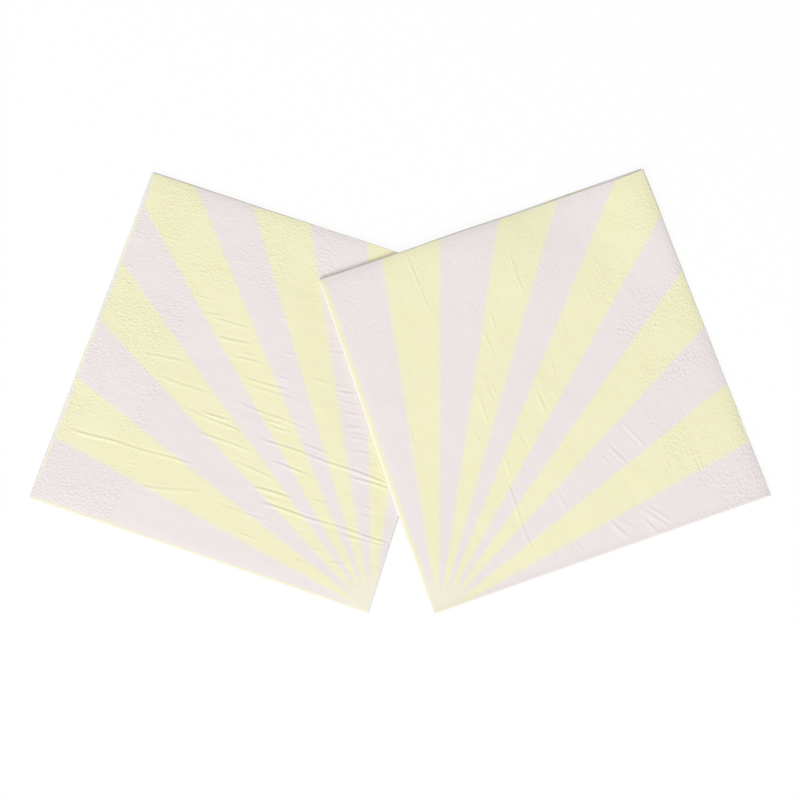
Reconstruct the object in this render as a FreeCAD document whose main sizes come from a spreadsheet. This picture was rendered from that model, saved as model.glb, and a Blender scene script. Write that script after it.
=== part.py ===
import FreeCAD, Part

import math
import os

import Sketcher

# Two printed tissue napkins, each one square sheet folded twice into a quarter, lying fanned:
# the upper one lies over a corner of the lower one and drapes down to the table around it.
#
# Frame: +Z up from the table, +Y towards the raw corners, origin under the middle of the two.
# A napkin's own frame has its closed corner, where both folds meet, at the origin. X runs
# along the last fold and Y along the first fold, and the underside lies at Z = 0.

SIZES = [
    ("sheet_width", 330.0, "width of the opened square sheet"),
    ("sheet_thickness", 0.3, "three plies of tissue pressed together"),
    ("leaf_gap", 0.3, "air between the two leaves of a pair"),
    ("pair_gap", 0.4, "air between the upper pair and the lower pair"),
    ("pair_overhang", 1.0, "how far the lower pair stands out past the upper one"),
    ("corner_distance", 29.7, "from one closed corner to the other"),
    ("fan_half_angle", 25.86, "turn of a napkin's diagonal away from Y, in degrees"),
    ("napkin_clearance", 0.2, "between the lower napkin and the upper one"),
    ("drape_shoulder", 16.0, "how far the upper napkin stays level past the lower one's edge"),
    ("drape_run", 36.0, "length over which it then comes down to the table"),
]

# The draped sheet is smooth patches of this degree. Over its leaves their net is this many
# shoulders wide, so the sheet is still level at the lower napkin's edge. A quarter turn of
# a fold takes four rows, and the two between are handles of this length on a unit circle.
DEGREE = 3
NET_PER_SHOULDER = 1.3
ARC_HANDLE = 4 * (math.sqrt(2) - 1) / 3
SEW_TOLERANCE = 0.001

QUARTER_TURN = math.pi / 2
HALF_SQUARE_ANGLE = 45.0

doc = FreeCAD.newDocument("folded_napkins")
sizes = doc.addObject("Spreadsheet::Sheet", "sizes")
for row, (alias, value, meaning) in enumerate(SIZES, start=1):
    sizes.set(f"A{row}", meaning)
    sizes.set(f"B{row}", str(value))
    sizes.setAlias(f"B{row}", alias)
doc.recompute()


def size(alias):
    """A driving dimension, as the sheet holds it."""
    return float(sizes.get(alias))


# What both folds are worked out from
LEAF_RADIUS = "(sizes.sheet_thickness + sizes.leaf_gap) / 2"
PAIR_RADIUS = "(sizes.sheet_thickness + (sizes.leaf_gap + sizes.pair_gap) / 2)"
OUTER_RADIUS = "(sizes.leaf_gap / 2 + sizes.sheet_thickness)"
HALF_HEIGHT = f"({PAIR_RADIUS} + {OUTER_RADIUS})"
LEAF_WIDTH = f"{OUTER_RADIUS} + (sizes.sheet_width - pi * {LEAF_RADIUS}) / 2"
UPPER_LENGTH = f"{HALF_HEIGHT} + (sizes.sheet_width - pi * {PAIR_RADIUS} - sizes.pair_overhang) / 2"
LOWER_LENGTH = f"{UPPER_LENGTH} + sizes.pair_overhang"


def new_sketch(body, name, role):
    """An empty sketch on one of the body's own origin planes."""
    sketch = body.newObject("Sketcher::SketchObject", name)
    plane = next(feature for feature in body.Origin.OriginFeatures if feature.Role == role)
    sketch.AttachmentSupport = [(plane, "")]
    sketch.MapMode = "FlatFace"
    return sketch


def line(sketch, start, end):
    return sketch.addGeometry(Part.LineSegment(FreeCAD.Vector(*start), FreeCAD.Vector(*end)))


def turn(sketch, centre, radius):
    """A half circle that opens to the right, from its top round to its foot."""
    circle = Part.Circle(FreeCAD.Vector(*centre), FreeCAD.Vector(0, 0, 1), radius)
    return sketch.addGeometry(Part.ArcOfCircle(circle, QUARTER_TURN, 3 * QUARTER_TURN))


def drawn(sketch, kind, places):
    """What a dimension measures on the sketch as it is drawn."""
    if kind == "Radius":
        return sketch.Geometry[places[0]].Radius
    way = sketch.getPoint(*places[2:]) - sketch.getPoint(*places[:2])
    return way.x if kind == "DistanceX" else way.y


def dimension(sketch, name, formula, kind, *places):
    """A named driving dimension, bound to the sheet."""
    start = drawn(sketch, kind, places)
    index = sketch.addConstraint(Sketcher.Constraint(kind, *places, start))
    sketch.renameConstraint(index, name)
    sketch.setExpression(f"Constraints.{name}", formula)


def tie(sketch, kind, *places):
    sketch.addConstraint(Sketcher.Constraint(kind, *places))


ORIGIN = (-1, 1)
START, END, CENTRE = 1, 2, 3


def pair_section(body):
    """Section of a pair of leaves: the sheet turned back on itself at the first fold."""
    sketch = new_sketch(body, "pair_section", "XZ_Plane")
    sketch.setExpression("AttachmentOffset.Base.z", f"-({UPPER_LENGTH})")
    thick = size("sheet_thickness")
    inner = size("leaf_gap") / 2
    outer = inner + thick
    reach = size("sheet_width") / 2
    level = 2 * outer + size("pair_gap") / 2 + outer
    under = line(sketch, (reach, level - outer, 0), (outer, level - outer, 0))
    outer_turn = turn(sketch, (outer, level, 0), outer)
    top = line(sketch, (outer, level + outer, 0), (reach, level + outer, 0))
    upper_edge = line(sketch, (reach, level + outer, 0), (reach, level + inner, 0))
    ceiling = line(sketch, (reach, level + inner, 0), (outer, level + inner, 0))
    inner_turn = turn(sketch, (outer, level, 0), inner)
    floor = line(sketch, (outer, level - inner, 0), (reach, level - inner, 0))
    lower_edge = line(sketch, (reach, level - inner, 0), (reach, level - outer, 0))
    tie(sketch, "Tangent", under, END, outer_turn, END)
    tie(sketch, "Tangent", outer_turn, START, top, START)
    tie(sketch, "Coincident", top, END, upper_edge, START)
    tie(sketch, "Coincident", upper_edge, END, ceiling, START)
    tie(sketch, "Tangent", ceiling, END, inner_turn, START)
    tie(sketch, "Tangent", inner_turn, END, floor, START)
    tie(sketch, "Coincident", floor, END, lower_edge, START)
    tie(sketch, "Coincident", lower_edge, END, under, START)
    tie(sketch, "Coincident", outer_turn, CENTRE, inner_turn, CENTRE)
    tie(sketch, "Horizontal", under)
    tie(sketch, "Horizontal", top)
    tie(sketch, "Horizontal", ceiling)
    tie(sketch, "Horizontal", floor)
    tie(sketch, "Vertical", upper_edge)
    tie(sketch, "Vertical", lower_edge)
    tie(sketch, "Vertical", top, END, under, START)
    dimension(sketch, "leaf_width", LEAF_WIDTH, "DistanceX", *ORIGIN, top, END)
    dimension(sketch, "outer_radius", OUTER_RADIUS, "Radius", outer_turn)
    dimension(sketch, "inner_radius", "sizes.leaf_gap / 2", "Radius", inner_turn)
    dimension(sketch, "fold_inset", OUTER_RADIUS, "DistanceX", *ORIGIN, outer_turn, CENTRE)
    level_formula = f"{HALF_HEIGHT} + {PAIR_RADIUS}"
    dimension(sketch, "pair_level", level_formula, "DistanceY", *ORIGIN, outer_turn, CENTRE)
    return sketch


def second_fold_path(body):
    """The way that the pair takes: in over the top, round the last fold, and out below."""
    sketch = new_sketch(body, "second_fold_path", "YZ_Plane")
    radius = size("sheet_thickness") + (size("leaf_gap") + size("pair_gap")) / 2
    middle = radius + size("sheet_thickness") + size("leaf_gap") / 2
    reach = size("sheet_width") / 2
    upper = line(sketch, (reach, middle + radius, 0), (middle, middle + radius, 0))
    fold = turn(sketch, (middle, middle, 0), radius)
    lower = line(sketch, (middle, middle - radius, 0), (reach, middle - radius, 0))
    tie(sketch, "Tangent", upper, END, fold, START)
    tie(sketch, "Tangent", fold, END, lower, START)
    tie(sketch, "Horizontal", upper)
    tie(sketch, "Horizontal", lower)
    dimension(sketch, "pair_radius", PAIR_RADIUS, "Radius", fold)
    dimension(sketch, "half_height", HALF_HEIGHT, "DistanceY", *ORIGIN, fold, CENTRE)
    dimension(sketch, "fold_inset", HALF_HEIGHT, "DistanceX", *ORIGIN, fold, CENTRE)
    dimension(sketch, "upper_length", UPPER_LENGTH, "DistanceX", *ORIGIN, upper, START)
    dimension(sketch, "lower_length", LOWER_LENGTH, "DistanceX", *ORIGIN, lower, END)
    return sketch


def flat_napkin():
    """The lower napkin: the pair of leaves swept round the last fold, lying flat."""
    body = doc.addObject("PartDesign::Body", "lower_napkin")
    body.Label = "lower_napkin"
    section = pair_section(body)
    path = second_fold_path(body)
    doc.recompute()
    pipe = body.newObject("PartDesign::AdditivePipe", "folded_sheet")
    pipe.Profile = section
    pipe.Spine = (path, [])
    doc.recompute()
    return body, section, path


def value(sketch, name):
    """A dimension of one of the lower napkin's sketches, which both napkins share."""
    return sketch.getDatum(name).Value


def fold_rows(lower_reach, upper_reach):
    """Rows of the net across one fold: the lower leaf, two quarter turns, the upper leaf.

    A row says how far out on its leaf it lies, its angle round the fold, and by how much
    it stands off the fold's circle. A leaf's last rows lie closer, which keeps its
    patch evenly paced up to its rim.
    """
    handle = math.atan(ARC_HANDLE)
    stand_off = math.hypot(1, ARC_HANDLE)

    def leaf(reach, angle):
        spans = math.ceil(reach / (NET_PER_SHOULDER * size("drape_shoulder")))
        ends = [0, 1 / DEGREE], [spans - 1 / DEGREE, spans]
        steps = ends[0] + list(range(1, spans)) + ends[1]
        return [(reach * step / spans, angle, 1) for step in steps]

    def quarter(start):
        inner = [(0, start + handle, stand_off), (0, start + QUARTER_TURN - handle, stand_off)]
        return [(0, start, 1)] + inner + [(0, start + QUARTER_TURN, 1)]

    return [
        leaf(lower_reach, -QUARTER_TURN)[::-1],
        quarter(-QUARTER_TURN),
        quarter(0),
        leaf(upper_reach, QUARTER_TURN),
    ]


def round_fold(row, inset, radius):
    """How far a row lies from the folded edge, and its height over the fold's centre."""
    beyond, angle, stand_off = row
    return (
        inset + beyond - radius * stand_off * math.cos(angle),
        radius * stand_off * math.sin(angle),
    )


def spline_face(net, degrees):
    """A smooth face on a control net, whose rim is the net's own rim."""
    knots = []
    for count, degree in zip((len(net), len(net[0])), degrees):
        spans = count - degree
        knots.append(([degree + 1] + [1] * (spans - 1) + [degree + 1], list(range(spans + 1))))
    (across_mults, across_knots), (along_mults, along_knots) = knots
    surface = Part.BSplineSurface()
    surface.buildFromPolesMultsKnots(
        net, across_mults, along_mults, across_knots, along_knots, False, False, *degrees
    )
    return surface.toShape()


def draped_napkin(section, path, lower_place, upper_place):
    """The upper napkin: the same folded sheet, lifted where it lies over the lower one."""
    thick = size("sheet_thickness")
    leaf_inset = value(section, "fold_inset")
    leaf_radius = value(section, "inner_radius") + thick / 2
    pair_radius = value(path, "pair_radius")
    half_height = value(path, "half_height")
    leaf_reach = value(section, "leaf_width") - leaf_inset
    across = fold_rows(leaf_reach, leaf_reach)
    along = fold_rows(
        value(path, "lower_length") - half_height, value(path, "upper_length") - half_height
    )
    into_lower = lower_place.inverse() * upper_place
    step = 2 * half_height + size("napkin_clearance")

    def lift(x, y):
        """How high the napkin's underside lies over the table at a point of its own frame."""
        spot = into_lower.multVec(FreeCAD.Vector(x, y, 0))
        past_x = max(-spot.x, spot.x - value(section, "leaf_width"), 0)
        past_y = max(-spot.y, spot.y - value(path, "lower_length"), 0)
        way = (math.hypot(past_x, past_y) - size("drape_shoulder")) / size("drape_run")
        return step * (1 + math.cos(math.pi * min(max(way, 0), 1))) / 2

    def place(first, second, side):
        x, rise = round_fold(first, leaf_inset, leaf_radius + side * thick / 2)
        y, z = round_fold(second, half_height, pair_radius + rise)
        return FreeCAD.Vector(x, y, half_height + z + lift(x, y))

    faces = []
    for side in (1, -1):
        for rows in across:
            for columns in along:
                net = [[place(row, column, side) for column in columns] for row in rows]
                faces.append(spline_face(net, (DEGREE, DEGREE)))
    for end in (across[0][0], across[-1][-1]):
        for columns in along:
            net = [[place(end, column, side) for column in columns] for side in (1, -1)]
            faces.append(spline_face(net, (1, DEGREE)))
    for end in (along[0][0], along[-1][-1]):
        for rows in across:
            net = [[place(row, end, side) for row in rows] for side in (1, -1)]
            faces.append(spline_face(net, (1, DEGREE)))
    shell = Part.makeShell(faces)
    shell.sewShape(SEW_TOLERANCE)
    solid = Part.makeSolid(shell)
    if solid.Volume < 0:
        solid.reverse()
    feature = doc.addObject("Part::Feature", "upper_napkin")
    feature.Label = "upper_napkin"
    feature.Shape = solid
    feature.Placement = upper_place
    return feature


def fanned(side, section, path):
    """Where a napkin lies: its closed corner to one side, its diagonal turned that way.

    The origin is under the middle of the pair, so the pair's middle comes off both places.
    """
    corners = {}
    for hand in (-1, 1):
        turned = FreeCAD.Rotation(
            FreeCAD.Vector(0, 0, 1), HALF_SQUARE_ANGLE - hand * size("fan_half_angle")
        )
        start = FreeCAD.Vector(hand * size("corner_distance") / 2, 0, 0)
        wide, deep = value(section, "leaf_width"), value(path, "lower_length")
        rim = [(0, 0), (wide, 0), (wide, deep), (0, deep)]
        spots = [start + turned.multVec(FreeCAD.Vector(x, y, 0)) for x, y in rim]
        corners[hand] = (turned, start, spots)
    spots = corners[-1][2] + corners[1][2]
    middle = FreeCAD.Vector(
        (min(p.x for p in spots) + max(p.x for p in spots)) / 2,
        (min(p.y for p in spots) + max(p.y for p in spots)) / 2,
        0,
    )
    turned, start, _ = corners[side]
    return FreeCAD.Placement(start - middle, turned)


lower_napkin, section, path = flat_napkin()
lower_place = fanned(-1, section, path)
upper_place = fanned(1, section, path)
lower_napkin.Placement = lower_place
upper_napkin = draped_napkin(section, path, lower_place, upper_place)
doc.recompute()

for item in doc.Objects:
    if {"Invalid", "Error"} & set(item.State):
        raise RuntimeError(f"{item.Label} did not recompute: {item.State}")
os.makedirs("parts", exist_ok=True)
for piece in (lower_napkin, upper_napkin):
    shape = piece.Shape
    if shape.isNull() or not shape.isValid() or len(shape.Solids) != 1:
        raise RuntimeError(f"{piece.Label} is not one sound solid")
    print(piece.Label, "volume", round(shape.Volume), "faces", len(shape.Faces))
    shape.exportStep(f"parts/{piece.Label}.step")
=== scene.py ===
import math

import bpy
import numpy as np
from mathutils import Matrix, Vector, noise


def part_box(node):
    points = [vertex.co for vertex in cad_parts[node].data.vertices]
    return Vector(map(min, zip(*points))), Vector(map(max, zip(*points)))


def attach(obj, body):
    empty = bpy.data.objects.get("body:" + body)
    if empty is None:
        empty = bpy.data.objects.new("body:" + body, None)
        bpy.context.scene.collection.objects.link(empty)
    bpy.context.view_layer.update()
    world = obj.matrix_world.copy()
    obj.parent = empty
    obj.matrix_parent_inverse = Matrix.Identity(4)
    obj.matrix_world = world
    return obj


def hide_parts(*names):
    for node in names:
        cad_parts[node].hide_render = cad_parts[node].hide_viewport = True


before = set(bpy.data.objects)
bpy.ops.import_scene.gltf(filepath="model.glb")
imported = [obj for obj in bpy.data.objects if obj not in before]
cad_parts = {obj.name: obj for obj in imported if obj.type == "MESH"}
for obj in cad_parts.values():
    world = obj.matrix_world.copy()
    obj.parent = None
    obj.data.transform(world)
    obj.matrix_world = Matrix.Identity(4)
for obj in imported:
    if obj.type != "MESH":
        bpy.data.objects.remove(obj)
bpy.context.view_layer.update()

# Two printed tissue napkins, folded into quarters and fanned. Each is one square sheet: a
# flat grid that is folded twice, creased and laid down, and then given its thickness.
#
# A napkin's own frame has its closed corner at the origin. U runs along the last fold and V
# along the first, both in millimetres, and the underside lies at height 0.

bl_info = {
    "name": "Folded napkins",
    "version": (1, 0, 0),
    "blender": (4, 5, 0),
    "location": "View3D > Sidebar > Napkins",
    "description": "Lays two printed tissue napkins, folded into quarters and fanned",
    "category": "Add Mesh",
}

MM = 0.001
QUARTER_TURN = math.pi / 2

# Creases of a folded napkin's top leaf: each from one end (u, v) to the other in its own
# frame, and then its depth, below 0 where the steep side faces the first fold. All in
# millimetres.
LOWER_CREASES = (
    ((36.75, 162), (39.5, 99), 0.45),
    ((60.75, 74), (59.75, 3), 0.45),
    ((57.5, 29), (58.5, 0), 0.65),
    ((32.75, 64), (34, -4), 0.47),
    ((30.25, 25), (33.25, -4), 0.37),
    ((63.75, 115), (61, 81), 0.30),
    ((63.5, 105), (64.5, 88), 0.45),
    ((55, 103), (53.75, 74), 0.39),
    ((47.5, 84), (45, 59), 0.31),
    ((38.25, 71), (39.25, 49), 0.49),
    ((36, 64), (36.5, 56), 0.25),
    ((85, 93), (86.75, 67), 0.38),
    ((82.75, 89), (83.25, 62), 0.16),
    ((100, 110), (102, 91), 0.51),
    ((96.25, 96), (96.75, 87), 0.33),
    ((93, 101), (94.5, 83), 0.30),
    ((108, 121), (110.5, 107), 0.34),
    ((107, 117), (108.5, 95), 0.40),
    ((73.75, 91), (71.75, 51), 0.25),
    ((70, 76), (71, 63), 0.28),
    ((68, 73), (67.5, 60), 0.54),
    ((53.25, 66), (51.75, 45), 0.38),
    ((64.5, 57), (64, 37), 0.28),
    ((25.5, 83), (26.25, 54), 0.21),
    ((22, 120), (29.5, 90), 0.31),
    ((16.25, 69), (16.75, 58), 0.25),
    ((41.75, 43), (42.75, 34), 0.31),
    ((20.75, 35), (21.75, 25), 0.18),
    ((16.5, 26), (18.5, 15), 0.25),
    ((41, 21), (43.5, 11), 0.39),
    ((81, 141), (84.5, 118), 0.29),
    ((73.25, 129), (72.75, 102), 0.31),
    ((115.75, 127), (116.25, 114), 0.31),
    ((115.5, 59), (118, 48), 0.38),
    ((109.25, 57), (112.75, 45), 0.45),
    ((96, 56), (94, 48), 0.20),
    ((92, 49), (95.5, 35), 0.42),
    ((94.75, 50), (97.75, 42), 0.25),
    ((89.5, 46), (91.5, 30), 0.39),
    ((84.25, 42), (87.25, 27), 0.34),
    ((78.25, 41), (82.25, 23), 0.39),
    ((75.25, 39), (78.75, 21), 0.27),
    ((73.75, 37), (77.25, 19), 0.25),
    ((69, 31), (72, 18), 0.24),
    ((63.75, 29), (67.25, 15), 0.21),
    ((94.75, 63), (96.25, 50), 0.19),
    ((91.5, 78), (91.5, 68), 0.24),
    ((24.25, 46), (26.25, 33), 0.14),
    ((13, 44), (14, 30), 0.14),
    ((46, 20), (47, 11), 0.20),
    ((28.75, 86), (29.75, 74), 0.14),
    ((103, 79), (104, 66), 0.16),
    ((118, 84), (119.5, 74), 0.12),
)
UPPER_CREASES = (
    ((73.5, 125), (72.75, 112), 0.26),
    ((66.75, 117), (67.75, 104), 0.34),
    ((67.5, 105), (68.5, 95), 0.22),
    ((59, 105), (61.75, 103), 0.20),
    ((57.5, 98), (61.25, 92), 0.42),
    ((61, 92), (63, 86), 0.36),
    ((57.5, 95), (60, 90), 0.30),
    ((59.75, 91), (60.25, 83), 0.28),
    ((55, 91), (53.5, 71), 0.34),
    ((80, 82), (81, 69), 0.42),
    ((84, 91), (85.75, 84), 0.20),
    ((91.75, 95), (91.5, 81), 0.26),
    ((86.25, 83), (90.25, 74), 0.22),
    ((103, 114), (99, 102), 0.14),
    ((103.75, 108), (102.5, 99), 0.16),
    ((109, 114), (109.75, 105), 0.18),
    ((120.5, 122), (120.25, 111), 0.20),
    ((90.75, 150), (91, 125), 0.30),
    ((45.25, 162), (46.5, 143), 0.26),
    ((46, 145), (47, 132), 0.22),
    ((65, 69), (67, 54), 0.26),
    ((55, 58), (53, 46), -0.30),
    ((52.75, 47), (53, 10), 0.36),
    ((72.75, 37), (74.75, 23), 0.28),
    ((110.5, 55), (118.75, 38), -0.40),
    ((102.25, 48), (109, 34), 0.48),
    ((96.75, 48), (102.5, 34), 0.28),
    ((90.5, 16), (97.25, 3), 0.36),
    ((94, 14), (103, 4), 0.24),
    ((105.5, 16), (117, 2), 0.55),
    ((108.5, 16), (119.25, 4), 0.34),
    ((105.75, 10), (110.75, 1), 0.42),
    ((72.25, 12), (76.5, 5), 0.24),
    ((19.5, 85), (17.5, 71), 0.16),
    ((45.25, 75), (48.5, 64), 0.26),
    ((24.5, 42), (29, 35), 0.16),
    ((40.25, 19), (47, 13), 0.16),
    ((41.25, 76), (41.75, 67), 0.14),
    ((117, 44), (120.25, 37), 0.16),
    ((90.5, 46), (91.75, 40), 0.14),
    ((75.25, 80), (75, 73), 0.12),
)


class NapkinSizes(bpy.types.PropertyGroup):
    """What a napkin measures, opened and folded."""

    sheet_width: bpy.props.FloatProperty(
        name="Sheet width", description="Width of the opened square sheet",
        default=0.33, unit="LENGTH")
    sheet_thickness: bpy.props.FloatProperty(
        name="Sheet thickness", description="Three plies of tissue pressed together",
        default=0.0003, precision=5, unit="LENGTH")
    leaf_gap: bpy.props.FloatProperty(
        name="Leaf gap", description="Air between the two leaves of a pair",
        default=0.0003, precision=5, unit="LENGTH")
    pair_gap: bpy.props.FloatProperty(
        name="Pair gap", description="Air between the upper and the lower pair",
        default=0.0004, precision=5, unit="LENGTH")
    pair_overhang: bpy.props.FloatVectorProperty(
        name="Pair overhang", description="How far the lower pair stands out past the upper, "
        "in the lower and the upper napkin", default=(0.0008, 0.0002), size=2, precision=4,
        unit="LENGTH")
    first_skew: bpy.props.FloatVectorProperty(
        name="First fold's skew", description="Turn of the sheet on its first fold, lower and "
        "upper napkin", default=(0.0020, 0.0020), size=2, subtype="NONE")
    second_skew: bpy.props.FloatVectorProperty(
        name="Second fold's skew", description="Turn of the pairs on the second fold, lower "
        "and upper napkin", default=(-0.0015, 0.0020), size=2, subtype="NONE")
    fan_half_angle: bpy.props.FloatProperty(
        name="Fan half angle", description="Turn of a napkin's diagonal away from Y",
        default=math.radians(25.86), subtype="ANGLE")
    napkin_clearance: bpy.props.FloatProperty(
        name="Napkin clearance", description="Between the lower napkin and the upper one",
        default=0.0002, precision=5, unit="LENGTH")
    drape_shoulder: bpy.props.FloatProperty(
        name="Drape shoulder", description="How far the upper napkin stays level past an edge",
        default=0.008, unit="LENGTH")
    drape_run: bpy.props.FloatProperty(
        name="Drape run", description="Length over which it then comes down to the table",
        default=0.060, unit="LENGTH")


class NapkinPrint(bpy.types.PropertyGroup):
    """The printed rays, the bare tissue and the embossed rim."""

    warm: bpy.props.FloatVectorProperty(
        name="Yellow ray", description="Colour of every second ray",
        default=(0.893, 0.866, 0.552), size=3, subtype="COLOR")
    cool: bpy.props.FloatVectorProperty(
        name="Pink ray", description="Colour of the rays between",
        default=(0.858, 0.783, 0.772), size=3, subtype="COLOR")
    bare: bpy.props.FloatVectorProperty(
        name="Bare tissue", description="Colour of the unprinted side",
        default=(0.92, 0.915, 0.90), size=3, subtype="COLOR")
    show_through: bpy.props.FloatProperty(
        name="Show-through", description="How much of the print the unprinted side shows",
        default=0.5, subtype="FACTOR")
    ray_pitch: bpy.props.FloatProperty(
        name="Ray pitch", description="A ray's width over its distance from the middle",
        default=0.177)
    bleed: bpy.props.FloatProperty(
        name="Bleed", description="How far the ink of two rays runs together",
        default=0.0010, precision=5, unit="LENGTH")
    rim_width: bpy.props.FloatProperty(
        name="Rim width", description="Width of the embossed rim round the opened sheet",
        default=0.04, unit="LENGTH")


class StageSettings(bpy.types.PropertyGroup):
    """The table top, the light and the camera."""

    sky: bpy.props.FloatProperty(
        name="Sky", description="Strength of the even light from all round", default=0.62)
    lamp: bpy.props.FloatProperty(
        name="Lamp", description="Power of the large soft lamp, in watts", default=218.5)
    elevation: bpy.props.FloatProperty(
        name="Elevation", description="How steeply the camera looks down",
        default=math.radians(80.6), subtype="ANGLE")
    azimuth: bpy.props.FloatProperty(
        name="Azimuth", description="Turn of the camera round the napkins",
        default=math.radians(-0.46), subtype="ANGLE")
    distance: bpy.props.FloatProperty(
        name="Distance", description="From the camera to the point it looks at",
        default=0.6814, unit="LENGTH")
    lens: bpy.props.FloatProperty(
        name="Lens", description="Focal length on a sensor 36 mm wide",
        default=65.7, unit="CAMERA")


class Number:
    """A value in a material's node tree. Arithmetic on it adds Math nodes."""

    def __init__(self, tree, socket):
        self.tree, self.socket = tree, socket

    def math(self, operation, *others, clamp=False):
        node = self.tree.nodes.new("ShaderNodeMath")
        node.operation = operation
        node.use_clamp = clamp
        for place, value in enumerate((self,) + others):
            if isinstance(value, Number):
                self.tree.links.new(value.socket, node.inputs[place])
            else:
                node.inputs[place].default_value = value
        return Number(self.tree, node.outputs[0])

    def reflected(self, operation, other):
        node = self.tree.nodes.new("ShaderNodeMath")
        node.operation = operation
        node.inputs[0].default_value = other
        self.tree.links.new(self.socket, node.inputs[1])
        return Number(self.tree, node.outputs[0])

    def __add__(self, other):
        return self.math("ADD", other)

    def __sub__(self, other):
        return self.math("SUBTRACT", other)

    def __mul__(self, other):
        return self.math("MULTIPLY", other)

    def __truediv__(self, other):
        return self.math("DIVIDE", other)

    def __rsub__(self, other):
        return self.reflected("SUBTRACT", other)

    def __rtruediv__(self, other):
        return self.reflected("DIVIDE", other)

    __radd__ = __add__
    __rmul__ = __mul__

    def ramp(self, low, high):
        """0 up to the low value, 1 from the high one on, and a smooth way between."""
        share = ((self - low) / (high - low)).math("ADD", 0.0, clamp=True)
        return share * share * (3.0 - 2.0 * share)


class Finish:
    """A material, built node by node."""

    def __init__(self, name):
        self.material = bpy.data.materials.new(name)
        self.material.use_nodes = True
        self.tree = self.material.node_tree
        self.tree.nodes.clear()

    def node(self, kind, settings, inputs):
        """Any node: its settings first, and then the values or links of its sockets."""
        node = self.tree.nodes.new(kind)
        for key, value in settings.items():
            setattr(node, key, value)
        for key, value in inputs.items():
            if isinstance(value, Number):
                self.tree.links.new(value.socket, node.inputs[key])
            else:
                node.inputs[key].default_value = value
        return node

    def number(self, kind, settings, inputs, output=0):
        return Number(self.tree, self.node(kind, settings, inputs).outputs[output])

    def mix(self, share, first, second):
        """Between two colours."""
        colours = {0: share, 6: first, 7: second}
        return self.number("ShaderNodeMix", {"data_type": "RGBA"}, colours, 2)

    def surface(self, shader):
        output = self.node("ShaderNodeOutputMaterial", {}, {})
        self.tree.links.new(shader.outputs[0], output.inputs[0])
        return self.material


def colour(values):
    return (*values, 1.0)


def ray_share(finish, across, along, pitch, bleed):
    """1 on the yellow rays and 0 on the pink ones, by distance from the print's middle.

    Along each side of the sheet the rays are equally wide, so each one's edges are at
    whole multiples of a pitch in the tangent of their angle. The ray on the diagonal
    takes what is left.
    """
    wide, deep = across.math("ABSOLUTE"), along.math("ABSOLUTE")
    shorter, longer = wide.math("MINIMUM", deep), wide.math("MAXIMUM", deep)
    rays = shorter / (longer + 0.001) / pitch
    parity = rays.math("FLOOR").math("MODULO", 2.0)
    quadrant = (across * along).math("LESS_THAN", 0.0)
    odd = (parity - quadrant).math("ABSOLUTE")
    last_edge = math.floor(1 / pitch)
    nearest = rays.math("MINIMUM", last_edge + 0.45).math("ROUND")
    edge_distance = (rays - nearest).math("ABSOLUTE") * longer * pitch
    pure = edge_distance.ramp(0.0, bleed)
    return 0.5 + (odd - 0.5) * pure


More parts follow.
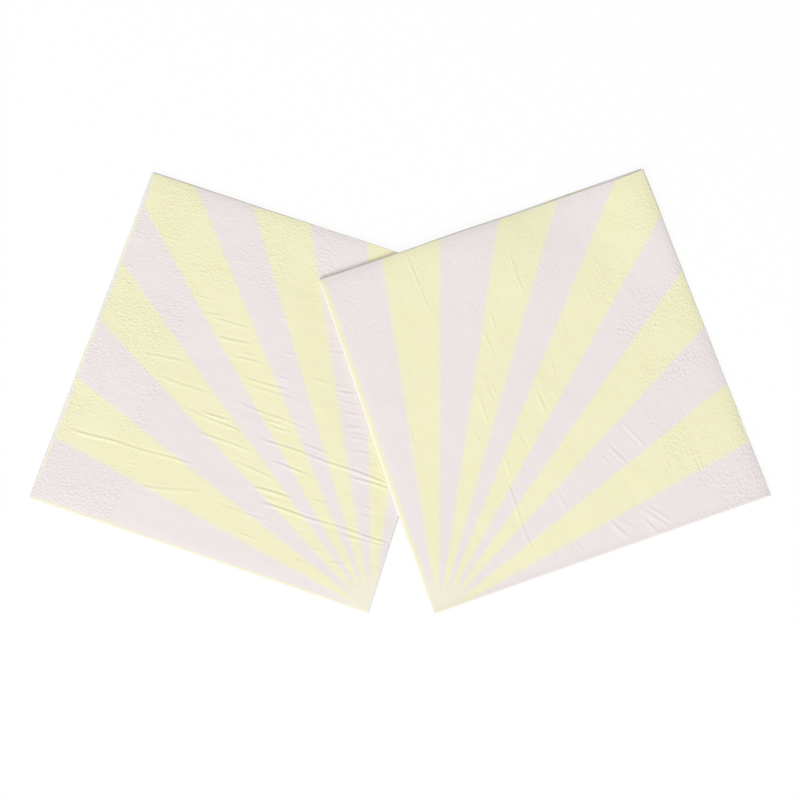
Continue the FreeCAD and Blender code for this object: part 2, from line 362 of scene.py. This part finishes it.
def tissue(name, pair_fold, middle, print_turn, rim_depth, side):
    """Printed three-ply tissue, seen from its printed side (1) or its bare side (0). The
    print's middle lies a little off the sheet's, and it is turned a little on the sheet."""
    inks = bpy.context.scene.napkin_print
    sizes = bpy.context.scene.napkin_sizes
    width = sizes.sheet_width / MM
    finish = Finish(name)
    place = finish.number("ShaderNodeUVMap", {"uv_map": "sheet"}, {})
    opened = finish.number(
        "ShaderNodeVectorMath", {"operation": "MULTIPLY_ADD"},
        {0: place, 1: (width, width, 0.0), 2: (-width / 2, -width / 2, 0.0)})
    split = finish.node("ShaderNodeSeparateXYZ", {}, {0: opened})
    s, t = (Number(finish.tree, split.outputs[axis]) for axis in ("X", "Y"))

    def grain(scale, detail=2.0, stretch=(1.0, 1.0, 1.0), output=0):
        """Noise on the opened sheet, about one unit wide in a millimetre over its scale."""
        spot = finish.number(
            "ShaderNodeVectorMath", {"operation": "MULTIPLY"}, {0: opened, 1: stretch})
        return finish.number(
            "ShaderNodeTexNoise", {"noise_dimensions": "2D"},
            {"Vector": spot, "Scale": scale, "Detail": detail}, output)

    waver = (grain(0.35) - 0.5) * 0.7
    off_s, off_t = s - middle[0] + waver, t - middle[1] + waver
    across, along = off_s - off_t * print_turn, off_t + off_s * print_turn
    mask = ray_share(finish, across, along, inks.ray_pitch, inks.bleed / MM)
    from_middle = (across * across + along * along).math("SQRT")
    run_together = 0.9 * (1.0 - from_middle.ramp(3.0, 22.0))
    mask = mask + (0.62 - mask) * run_together
    print_colour = finish.mix(mask, colour(inks.cool), colour(inks.warm))
    patches = grain(0.05, 3.0)
    fibres = grain(1.3, 3.0, (1.0, 0.35, 1.0))
    folds = s.math("ABSOLUTE").math("MINIMUM", (t - pair_fold).math("ABSOLUTE"))
    # Painted highlight: the ink is lightened towards the bare tissue along both folds, so the
    # folded edges look lit.
    fold_highlight = 0.5 * (1.0 - folds.ramp(0.2, 1.5))
    ink = (1.0 - 0.10 * patches - 0.10 * fibres * side) * (1.0 - fold_highlight)
    if side == 0:
        ink = ink * inks.show_through
    body_colour = finish.mix(ink, colour(inks.bare), print_colour)

    edge = (width / 2) - s.math("ABSOLUTE").math("MAXIMUM", t.math("ABSOLUTE"))
    scallop = ((s + t) * 0.2).math("SINE") * 1.2
    from_rim = edge + scallop - inks.rim_width / MM
    rim = 1.0 - from_rim.ramp(-1.5, 1.0)
    border = (1.0 - from_rim.math("ABSOLUTE").ramp(0.5, 3.0)) * 0.4
    patchy = 0.45 + 0.75 * grain(0.045, 2.0).ramp(0.36, 0.62)
    across_side = (s.math("ABSOLUTE") - t.math("ABSOLUTE")).ramp(-12.0, 12.0)
    strength = rim_depth[1] + (rim_depth[0] - rim_depth[1]) * across_side
    speckle = grain(0.85, 2.0, (1.0, 0.7, 1.0)) - 0.5
    crepe = grain(0.9, 3.0, (1.0, 0.22, 1.0)) - 0.5
    cockle = grain(0.13, 2.0, (1.0, 0.6, 1.0)) - 0.5
    embossed = speckle * (rim * patchy + border) * strength
    relief = embossed * 0.30 + crepe * 0.035 + cockle * 0.26
    bump = finish.number(
        "ShaderNodeBump", {}, {"Height": relief, "Distance": MM, "Strength": 1.0})
    paper = finish.node(
        "ShaderNodeBsdfPrincipled", {},
        {"Base Color": body_colour, "Normal": bump, "Roughness": 0.92,
         "Specular IOR Level": 0.15, "Sheen Weight": 0.12, "Sheen Roughness": 0.6})
    return finish.surface(paper)


def smooth(share):
    share = np.clip(share, 0.0, 1.0)
    return share * share * (3.0 - 2.0 * share)


def soft_field(u, v, wave, seed):
    """Smooth unevenness between about -1 and 1, over a folded napkin."""
    values = [noise.noise(Vector((a / wave, b / wave, seed))) for a, b in zip(u, v)]
    return np.array(values) * 1.6


class Napkin:
    """One folded sheet: its sizes in millimetres and where it lies."""

    def __init__(self, node, hand, creases, draw_in, pull, bow, droop, bead, corner_lift,
                 rows, seed):
        sizes = bpy.context.scene.napkin_sizes
        self.creases, self.draw_in, self.pull = creases, draw_in, pull
        self.bow, self.droop = bow, droop
        self.bead, self.corner_lift, self.rows, self.seed = bead, corner_lift, rows, seed
        self.puff, self.droop_run = 0.42, 2.8
        self.width = sizes.sheet_width / MM
        self.thick = sizes.sheet_thickness / MM
        self.leaf_radius = (self.thick + sizes.leaf_gap / MM) / 2
        self.pair_radius = self.thick + (sizes.leaf_gap + sizes.pair_gap) / MM / 2
        self.leaf_inset = self.leaf_radius + self.thick / 2
        self.half_height = self.pair_radius + self.leaf_inset
        self.leaf_quarter = self.leaf_radius * QUARTER_TURN
        self.pair_quarter = self.pair_radius * QUARTER_TURN
        which = 0 if hand < 0 else 1
        self.pair_fold = sizes.pair_overhang[which] / MM / 2
        self.leaf_skew, self.pair_skew = sizes.first_skew[which], sizes.second_skew[which]
        self.reach = self.leaf_inset + self.width / 2 - self.leaf_quarter
        self.depth = (
            self.half_height + self.width / 2 - self.pair_quarter + self.pair_fold)
        self.turn = math.pi / 4 - hand * sizes.fan_half_angle
        low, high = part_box(node)
        if hand < 0:
            corner_x = low[0] / MM + self.depth * math.sin(self.turn)
        else:
            corner_x = high[0] / MM - self.reach * math.cos(self.turn)
        self.corner = (corner_x + 0.1 * hand, low[1] / MM - 0.4 * hand)

    def to_row(self, u, v):
        """From the napkin's own frame to the shared one, both in millimetres."""
        c, s = math.cos(self.turn), math.sin(self.turn)
        return self.corner[0] + u * c - v * s, self.corner[1] + u * s + v * c

    def from_row(self, x, y):
        c, s = math.cos(self.turn), math.sin(self.turn)
        x, y = x - self.corner[0], y - self.corner[1]
        return x * c + y * s, y * c - x * s

    def outside(self, u, v):
        """How far a point lies outside the folded napkin's outline."""
        past_u = np.maximum(np.maximum(-u, u - self.reach), 0.0)
        past_v = np.maximum(np.maximum(-v, v - self.depth), 0.0)
        return np.hypot(past_u, past_v)

    def askew(self, s, t):
        """Sets the folds: the second one a little off the middle, which lets the lower pair
        stand out, and both a little askew, which shows the bare leaves at the raw corner."""
        half = self.width / 2
        p = s - self.leaf_skew * t * np.abs(s) / half
        q = t - self.pair_fold - self.leaf_skew * s * np.abs(t) / half
        return p, q

    def fold(self, s, t):
        """Where points of the opened sheet lie once it is folded: u, v and height."""
        angle = np.clip(s / self.leaf_radius, -QUARTER_TURN, QUARTER_TURN)
        beyond = np.maximum(np.abs(s) - self.leaf_quarter, 0.0)
        u = self.leaf_inset + beyond - self.leaf_radius * np.cos(angle)
        rise = self.leaf_radius * np.sin(angle)
        radius = self.pair_radius + rise
        angle = np.clip(t / self.pair_radius, -QUARTER_TURN, QUARTER_TURN)
        beyond = np.maximum(np.abs(t) - self.pair_quarter, 0.0)
        out, up = np.clip(np.cos(angle), 0, 1), np.sin(angle)
        v = self.half_height + beyond - radius * out ** 0.6
        height = self.half_height + radius * np.sign(up) * np.abs(up) ** 0.6
        turn = self.pair_skew * up
        return u + turn * v, v - turn * u, height

    def drawn_in(self, u, v, upper):
        """How far the first fold is drawn in towards its raw end, most in the upper pair."""
        most = np.where(upper, self.draw_in[0], self.draw_in[1])
        return most * smooth((v - 30.0) / 140.0) * np.exp(-u / 25.0)

    def pulled_back(self, u, v):
        """How far the top leaf's raw edge, drawn up by its creases, lies behind the next."""
        along = smooth(u / 14.0) * smooth((self.reach - u) / 14.0)
        return self.pull * along * np.exp(-(self.depth - v) / 30.0)

    def bowed(self, u, v):
        """How far the last fold is bowed in from a straight line."""
        most, run = self.bow
        return most * smooth(u / run) * np.exp(-v / 25.0)

    def loft(self, u, v):
        """How much the air between the leaves lifts or lowers the top one."""
        puff = self.puff * (1 - np.exp(-np.maximum(u, 0) / 3.6))
        bead = self.bead * np.exp(-(v / 1.8) ** 2)
        held = np.exp(-np.maximum(self.reach - u, 0) / self.droop_run)
        held_v = np.exp(-np.maximum(self.depth - v, 0) / self.droop_run)
        raw = 1 - (1 - held * self.droop[0]) * (1 - held_v * self.droop[1])
        slow = soft_field(u, v, 52.0, self.seed)
        quick = soft_field(u, v, 19.0, self.seed + 7.3)
        corner = self.corner_lift * smooth((u + v - 258.0) / 72.0)
        return puff + bead - raw + corner + (0.26 * slow + 0.10 * quick) * (1 - raw)

    def crease_lines(self):
        """Grid lines along the last fold, which crowd at the creases."""
        def density(place):
            crowd = np.zeros_like(place)
            for (start, _), (end, _), _ in self.creases:
                low, high = min(start, end) - 1.3, max(start, end) + 1.3
                past = np.maximum(low - place, place - high)
                crowd = np.maximum(crowd, smooth(1 - past / 1.5))
            return 0.85 + 1.65 * crowd
        return spread(self.leaf_quarter, self.width / 2, density)

    def depth_lines(self):
        """Grid lines along the first fold, so many a mm near the last one and far from it."""
        near, far = self.rows
        return spread(self.pair_fold + self.pair_quarter, self.width / 2,
                      lambda place: far + (near - far) * smooth((72 - place) / 20))

    def ridges(self, u, v):
        """Height of the creases on the top leaf: each a low ridge with a sharp valley."""
        total = np.zeros_like(u)
        for number, (start, end, depth) in enumerate(self.creases):
            start, end = np.array(start), np.array(end)
            way = end - start
            length = np.hypot(*way)
            along = ((u - start[0]) * way[0] + (v - start[1]) * way[1]) / length
            off = ((v - start[1]) * way[0] - (u - start[0]) * way[1]) / length
            off = off + 0.25 * np.sin(along / 5.0 + number) - 0.3 * math.sin(2.3 * number)
            off = off * math.copysign(1, depth)
            run = min(6.0, 0.35 * length)
            fade = smooth(along / run) * smooth((length - along) / run)
            uneven = 0.8 + 0.2 * np.sin(along / 9.0 + 2.1 * number)
            ridge = 0.60 * np.exp(-((off + 0.90) / 0.68) ** 2)
            valley = 0.40 * np.exp(-(off / 0.52) ** 2)
            total = total + abs(depth) * fade * uneven * (ridge - valley)
        return total


def spread(start, end, density):
    """Grid lines from start to end, as close together as the density, in lines a mm, asks."""
    place = np.arange(start, end, 0.05)
    count = np.cumsum(density(place)) * 0.05
    lines = np.interp(np.linspace(0, count[-1], int(count[-1]) + 1), count, place)
    lines[0], lines[-1] = start, end
    return lines


def sheet_lines(half, fold, quarter, under, turned, over):
    """Where the sheet's grid lines run: few on the leaf that is turned under, close ones
    round the fold, and then those given for the leaf that shows."""
    return np.concatenate((
        np.linspace(-half, fold - quarter, under + 1)[:-1],
        np.linspace(fold - quarter, fold + quarter, turned + 1)[:-1],
        over))


def deselect():
    bpy.ops.object.select_all(action="DESELECT")


def opened_sheet(name, napkin):
    """The flat sheet: a grid whose lines are closest where they will show."""
    half = napkin.width / 2
    s_lines = sheet_lines(half, 0.0, napkin.leaf_quarter, 18, 8, napkin.crease_lines())
    t_lines = sheet_lines(
        half, napkin.pair_fold, napkin.pair_quarter, 16, 10, napkin.depth_lines())
    deselect()
    bpy.ops.mesh.primitive_grid_add(
        x_subdivisions=len(s_lines) - 1, y_subdivisions=len(t_lines) - 1,
        size=2.0, location=(0, 0, 0))
    piece = bpy.context.object
    piece.name = piece.data.name = name
    mesh = piece.data
    points = np.empty(len(mesh.vertices) * 3)
    mesh.vertices.foreach_get("co", points)
    points = points.reshape(-1, 3)
    column = np.rint((points[:, 0] + 1) / 2 * (len(s_lines) - 1)).astype(int)
    row = np.rint((points[:, 1] + 1) / 2 * (len(t_lines) - 1)).astype(int)
    s, t = s_lines[column], t_lines[row]
    while mesh.uv_layers:
        mesh.uv_layers.remove(mesh.uv_layers[0])
    layer = mesh.uv_layers.new(name="sheet")
    corners = np.empty(len(mesh.loops), int)
    mesh.loops.foreach_get("vertex_index", corners)
    flat = np.stack((s, t), axis=1)[corners] / napkin.width + 0.5
    layer.data.foreach_set("uv", flat.ravel())
    return piece, s, t


def thicken(piece, thickness):
    """Gives the sheet its plies' thickness, shades it smooth and applies it all."""
    deselect()
    piece.select_set(True)
    bpy.context.view_layer.objects.active = piece
    plies = piece.modifiers.new("plies", "SOLIDIFY")
    plies.thickness = thickness
    plies.offset = 0.0
    plies.material_offset = 1
    plies.material_offset_rim = 1
    bpy.ops.object.modifier_apply(modifier="plies")
    bpy.ops.object.shade_smooth_by_angle(angle=math.radians(60.0))


def lay(node, napkin, lift, middle, print_turn, rim_depth):
    name = node.replace("napkin", "tissue")
    piece, s, t = opened_sheet(name, napkin)
    trim = 0.10 * np.sin(s / 9.0) + 0.07 * np.sin(t / 5.3 + napkin.seed)
    raw = smooth((np.maximum(np.abs(s), np.abs(t)) - napkin.width / 2 + 4.0) / 4.0)
    p, q = napkin.askew(s + trim * raw * np.sign(s), t + trim * raw * np.sign(t))
    u, v, height = napkin.fold(p, q)
    u_clear, v_clear = np.clip(u, 0, napkin.reach), np.clip(v, 0, napkin.depth)
    sole = napkin.thick / 2
    room = 2 * (napkin.half_height - sole)
    swell = 1 + napkin.loft(u_clear, v_clear) * lift.pressed(u, v) / room
    height = sole + (height - sole) * swell
    top = (p > napkin.leaf_quarter) & (q > napkin.pair_quarter)
    rim = smooth(u / 2.0) * smooth(v / 1.6)
    ridges = napkin.ridges(u, v) * rim * (0.35 + 0.65 * lift.pressed(u, v, 3.0))
    height = height + np.where(top, ridges, 0.0) + lift.at(u, v)
    pulled = np.where(top, napkin.pulled_back(u, v), 0.0)
    u, v = u + napkin.drawn_in(u, v, q > 0), v + napkin.bowed(u, v) - pulled
    x, y = napkin.to_row(u, v)
    points = np.stack((x, y, height), axis=1) * MM
    piece.data.vertices.foreach_set("co", points.ravel())
    piece.data.update()
    piece.data.materials.append(tissue(
        name + "_print", napkin.pair_fold, middle, print_turn, rim_depth, 1))
    piece.data.materials.append(tissue(
        name + "_bare", napkin.pair_fold, middle, print_turn, rim_depth, 0))
    thicken(piece, bpy.context.scene.napkin_sizes.sheet_thickness)
    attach(piece, "root")
    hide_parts(node)
    return piece


class OnTable:
    """How the lower napkin lies: flat, and pressed where the upper one lies on it."""

    def __init__(self, lower, upper):
        self.lower, self.upper = lower, upper

    def at(self, u, v):
        return np.zeros_like(u)

    def pressed(self, u, v, over=16.0):
        """0 beneath the upper napkin, and 1 from that far outside it."""
        x, y = self.lower.to_row(u, v)
        return smooth(self.upper.outside(*self.upper.from_row(x, y)) / over)


class OverLower:
    """How the upper napkin lies: on the lower one, and from there down to the table."""

    def __init__(self, lower, upper):
        sizes = bpy.context.scene.napkin_sizes
        self.lower, self.upper = lower, upper
        self.step = 2 * lower.half_height + sizes.napkin_clearance / MM
        self.shoulder, self.run = sizes.drape_shoulder / MM, sizes.drape_run / MM

    def at(self, u, v):
        distance = self.lower.outside(*self.lower.from_row(*self.upper.to_row(u, v)))
        way = np.clip((distance - self.shoulder) / self.run, 0, 1)
        corner = 1.2 * smooth((u + v - 258.0) / 72.0)
        return self.step * (1 + np.cos(np.pi * way)) / 2 + corner

    def pressed(self, u, v, over=16.0):
        return np.ones_like(u)


def both():
    lower = Napkin("lower_napkin", -1, LOWER_CREASES, draw_in=(0.0, 0.1), pull=1.4,
                   bow=(0.8, 50.0), droop=(0.7, 0.3), bead=0.1, corner_lift=0.0,
                   rows=(0.62, 0.62), seed=3.1)
    upper = Napkin("upper_napkin", 1, UPPER_CREASES, draw_in=(1.5, 2.2), pull=0.3,
                   bow=(-0.8, 160.0), droop=(1.0, 0.9), bead=0.3, corner_lift=0.8,
                   rows=(1.15, 0.5), seed=11.7)
    return lower, upper


class OBJECT_OT_lower_napkin(bpy.types.Operator):
    """Fold the lower napkin and lay it on the table"""

    bl_idname = "object.lower_napkin"
    bl_label = "Lower napkin"

    def execute(self, context):
        lower, upper = both()
        lay("lower_napkin", lower, OnTable(lower, upper), middle=(1.2, -1.1),
            print_turn=0.0015, rim_depth=(0.9, 1.0))
        return {"FINISHED"}


class OBJECT_OT_upper_napkin(bpy.types.Operator):
    """Fold the upper napkin and lay it over the lower one"""

    bl_idname = "object.upper_napkin"
    bl_label = "Upper napkin"

    def execute(self, context):
        lower, upper = both()
        lay("upper_napkin", upper, OverLower(lower, upper), middle=(2.0, -1.15),
            print_turn=0.006, rim_depth=(1.05, 0.5))
        return {"FINISHED"}


def table_top():
    """A plain white table top that keeps some of the napkins' shadow."""
    deselect()
    bpy.ops.mesh.primitive_plane_add(size=6.0, location=(0, 0, 0))
    floor = bpy.context.object
    floor.name = "table_top"
    for vertex in floor.data.vertices:
        vertex.co.z = -0.05 * MM
    finish = Finish("table_white")
    path = finish.node("ShaderNodeLightPath", {}, {})
    seen = Number(finish.tree, path.outputs["Is Camera Ray"]) * 0.9
    matt = finish.node("ShaderNodeBsdfDiffuse", {}, {"Color": (1.0, 1.0, 1.0, 1.0)})
    glow = finish.node("ShaderNodeEmission", {}, {"Color": (1, 1, 1, 1), "Strength": 1.0})
    blend = finish.node("ShaderNodeMixShader", {}, {0: seen})
    finish.tree.links.new(matt.outputs[0], blend.inputs[1])
    finish.tree.links.new(glow.outputs[0], blend.inputs[2])
    floor.data.materials.append(finish.surface(blend))


def light():
    """Even light from all round, and a large soft lamp over the near left side."""
    stage = bpy.context.scene.napkin_stage
    world = bpy.data.worlds.new("studio")
    bpy.context.scene.world = world
    world.use_nodes = True
    back = world.node_tree.nodes["Background"]
    back.inputs["Color"].default_value = (1, 1, 1, 1)
    back.inputs["Strength"].default_value = stage.sky
    bpy.ops.object.light_add(type="AREA", location=(-2.0, -4.3, 3.4))
    lamp = bpy.context.object
    lamp.name = "soft_lamp"
    lamp.data.shape = "DISK"
    lamp.data.size = 2.4
    lamp.data.energy = stage.lamp
    lamp.rotation_euler = (-Vector(lamp.location)).to_track_quat("-Z", "Y").to_euler()


def camera():
    stage = bpy.context.scene.napkin_stage
    target = Vector((0.62, -5.90, 0.0)) * MM
    level = stage.distance * math.cos(stage.elevation)
    place = target + Vector((
        level * math.sin(stage.azimuth),
        -level * math.cos(stage.azimuth),
        stage.distance * math.sin(stage.elevation)))
    bpy.ops.object.camera_add(location=place)
    eye = bpy.context.object
    eye.name = "camera"
    eye.rotation_euler = (target - place).to_track_quat("-Z", "Y").to_euler()
    eye.data.lens = stage.lens
    eye.data.sensor_width = 36.0
    eye.data.clip_start = 0.01
    bpy.context.scene.camera = eye


class OBJECT_OT_napkin_stage(bpy.types.Operator):
    """Set up the table top, the light and the camera"""

    bl_idname = "object.napkin_stage"
    bl_label = "Stage"

    def execute(self, context):
        table_top()
        light()
        camera()
        context.scene.view_settings.view_transform = "Standard"
        return {"FINISHED"}


class VIEW3D_PT_napkins(bpy.types.Panel):
    """Lists the napkins and the stage"""

    bl_label = "Folded napkins"
    bl_space_type = "VIEW_3D"
    bl_region_type = "UI"
    bl_category = "Napkins"

    def draw(self, context):
        for group in ("napkin_sizes", "napkin_print", "napkin_stage"):
            settings = getattr(context.scene, group)
            for name in settings.bl_rna.properties.keys():
                if name not in ("rna_type", "name"):
                    self.layout.prop(settings, name)
        for operator in OPERATORS:
            self.layout.operator(operator.bl_idname)


OPERATORS = (OBJECT_OT_lower_napkin, OBJECT_OT_upper_napkin, OBJECT_OT_napkin_stage)
GROUPS = {"napkin_sizes": NapkinSizes, "napkin_print": NapkinPrint, "napkin_stage": StageSettings}
CLASSES = (*GROUPS.values(), *OPERATORS, VIEW3D_PT_napkins)


def register():
    for cls in CLASSES:
        bpy.utils.register_class(cls)
    for name, group in GROUPS.items():
        setattr(bpy.types.Scene, name, bpy.props.PointerProperty(type=group))


def unregister():
    for name in GROUPS:
        delattr(bpy.types.Scene, name)
    for cls in reversed(CLASSES):
        bpy.utils.unregister_class(cls)


def main():
    register()
    bpy.ops.object.lower_napkin()
    bpy.ops.object.upper_napkin()
    bpy.ops.object.napkin_stage()


if __name__ == "__main__":
    main()
